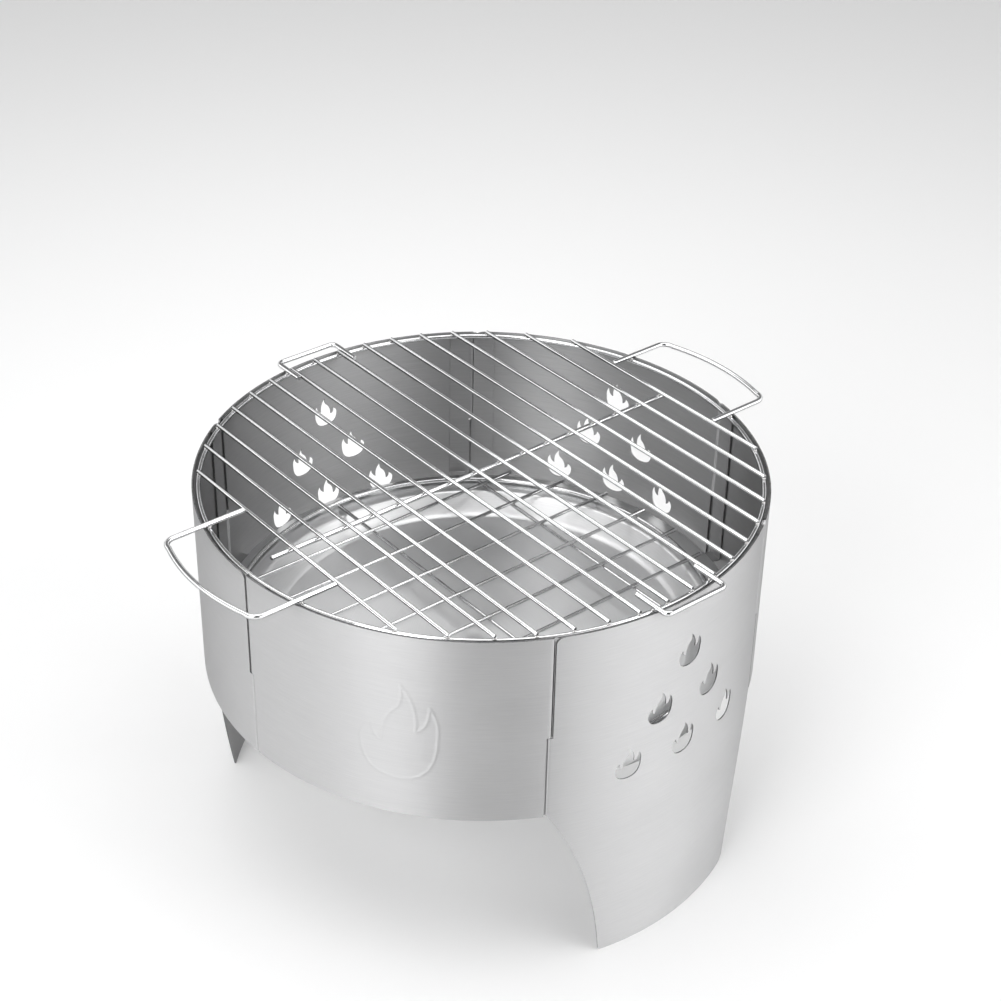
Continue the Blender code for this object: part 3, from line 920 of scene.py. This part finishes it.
def make_softbox(name, azimuth, elevation, distance, side, power):
    lamp = bpy.data.lights.new(name, "AREA")
    lamp.shape = "RECTANGLE"
    lamp.size = side
    lamp.size_y = side
    lamp.energy = power
    softbox = bpy.data.objects.new(name, lamp)
    bpy.context.scene.collection.objects.link(softbox)
    target = Vector(SOFTBOX_AIM)
    softbox.location = target + distance * direction(azimuth, elevation)
    softbox.rotation_euler = (target - softbox.location).to_track_quat("-Z", "Y").to_euler()


def make_floor():
    bpy.ops.mesh.primitive_grid_add(x_subdivisions=8, y_subdivisions=8, size=16.0)
    floor = bpy.context.active_object
    floor.name = "studio_floor"
    material = bpy.data.materials.new("pale_studio_floor")
    material.use_nodes = True
    shader = material.node_tree.nodes["Principled BSDF"]
    shader.inputs["Base Color"].default_value = (0.92, 0.92, 0.92, 1.0)
    shader.inputs["Roughness"].default_value = 0.9
    shader.inputs["Specular IOR Level"].default_value = 0.1
    floor.data.materials.append(material)


def add_profile(tree, height, stops, place):
    """Brightness by height: each stop is a sine of the elevation and the brightness there."""
    peak = max(bright for _, bright in stops)
    ramp = add_node(tree, "ShaderNodeValToRGB", place)
    marks = ramp.color_ramp.elements
    while len(marks) < len(stops):
        marks.new(0.5)
    for mark, (sine, bright) in zip(marks, stops):
        mark.position = sine
        mark.color = (bright / peak, bright / peak, bright / peak, 1.0)
    tree.links.new(height, ramp.inputs["Fac"])
    return add_math(tree, "MULTIPLY", ramp.outputs["Color"], peak, (place[0] + 300, place[1]))


def add_toward(tree, heading, change, away, near, place):
    """A number that goes softly from one value, away from an azimuth, to another, near it."""
    azimuth, narrow, wide = change
    toward = add_node(tree, "ShaderNodeVectorMath", place, operation="DOT_PRODUCT")
    toward.inputs[1].default_value = direction(azimuth, 0.0)
    tree.links.new(heading, toward.inputs[0])
    reach = (math.cos(math.radians(wide)), math.cos(math.radians(narrow)))
    ranged = add_range(tree, toward.outputs["Value"], away, near, (place[0] + 200, place[1]), *reach)
    ranged.node.interpolation_type = "SMOOTHSTEP"
    return ranged


def make_world():
    """A studio room: bright low down at the front and the sides with a dark gap in it, a darker wall
    behind the grill and a dark ceiling."""
    world = bpy.data.worlds.new("studio_room")
    bpy.context.scene.world = world
    world.use_nodes = True
    tree = world.node_tree
    background = tree.nodes["Background"]
    place = add_node(tree, "ShaderNodeTexCoord", (-1900, 0)).outputs["Generated"]
    parts = add_node(tree, "ShaderNodeSeparateXYZ", (-1700, 0))
    tree.links.new(place, parts.inputs["Vector"])
    flat = add_node(tree, "ShaderNodeVectorMath", (-1700, 300), operation="MULTIPLY")
    flat.inputs[1].default_value = (1.0, 1.0, 0.0)
    tree.links.new(place, flat.inputs[0])
    unit = add_node(tree, "ShaderNodeVectorMath", (-1500, 300), operation="NORMALIZE")
    tree.links.new(flat.outputs["Vector"], unit.inputs[0])
    heading = unit.outputs["Vector"]
    front = add_profile(tree, parts.outputs["Z"], FRONT_WALL, (-1400, 0))
    back = add_profile(tree, parts.outputs["Z"], BACK_WALL, (-1400, -300))
    gap = add_toward(tree, heading, FRONT_GAP, 1.0, FRONT_GAP_BRIGHTNESS, (-1300, 500))
    glow = add_toward(tree, heading, FRONT_GLOW, 1.0, FRONT_GLOW_BRIGHTNESS, (-1300, 800))
    behind = add_toward(tree, heading, BEHIND, 0.0, 1.0, (-1300, 1100))
    front = add_math(tree, "MULTIPLY", front, gap, (-700, 100))
    front = add_math(tree, "MULTIPLY", front, glow, (-550, 100))
    beside = add_math(tree, "SUBTRACT", 1.0, behind, (-700, 400))
    front = add_math(tree, "MULTIPLY", front, beside, (-400, 100))
    back = add_math(tree, "MULTIPLY", back, behind, (-400, -200))
    background.inputs["Color"].default_value = (1.0, 1.0, 1.0, 1.0)
    tree.links.new(add_math(tree, "ADD", front, back, (-200, 0)), background.inputs["Strength"])


def make_studio():
    make_camera()
    make_floor()
    make_world()
    for name, placing in SOFTBOXES.items():
        make_softbox(name, *placing)
    bpy.context.scene.view_settings.view_transform = "Standard"


# ---------------------------------------------------------------- the grill

make_studio()
for panel_node, (first, last, leg_shape, flame_place) in PANELS.items():
    make_panel(panel_node, first, last, leg_shape, flame_place)
make_pan()
make_charcoal_grate()
make_cooking_grate()
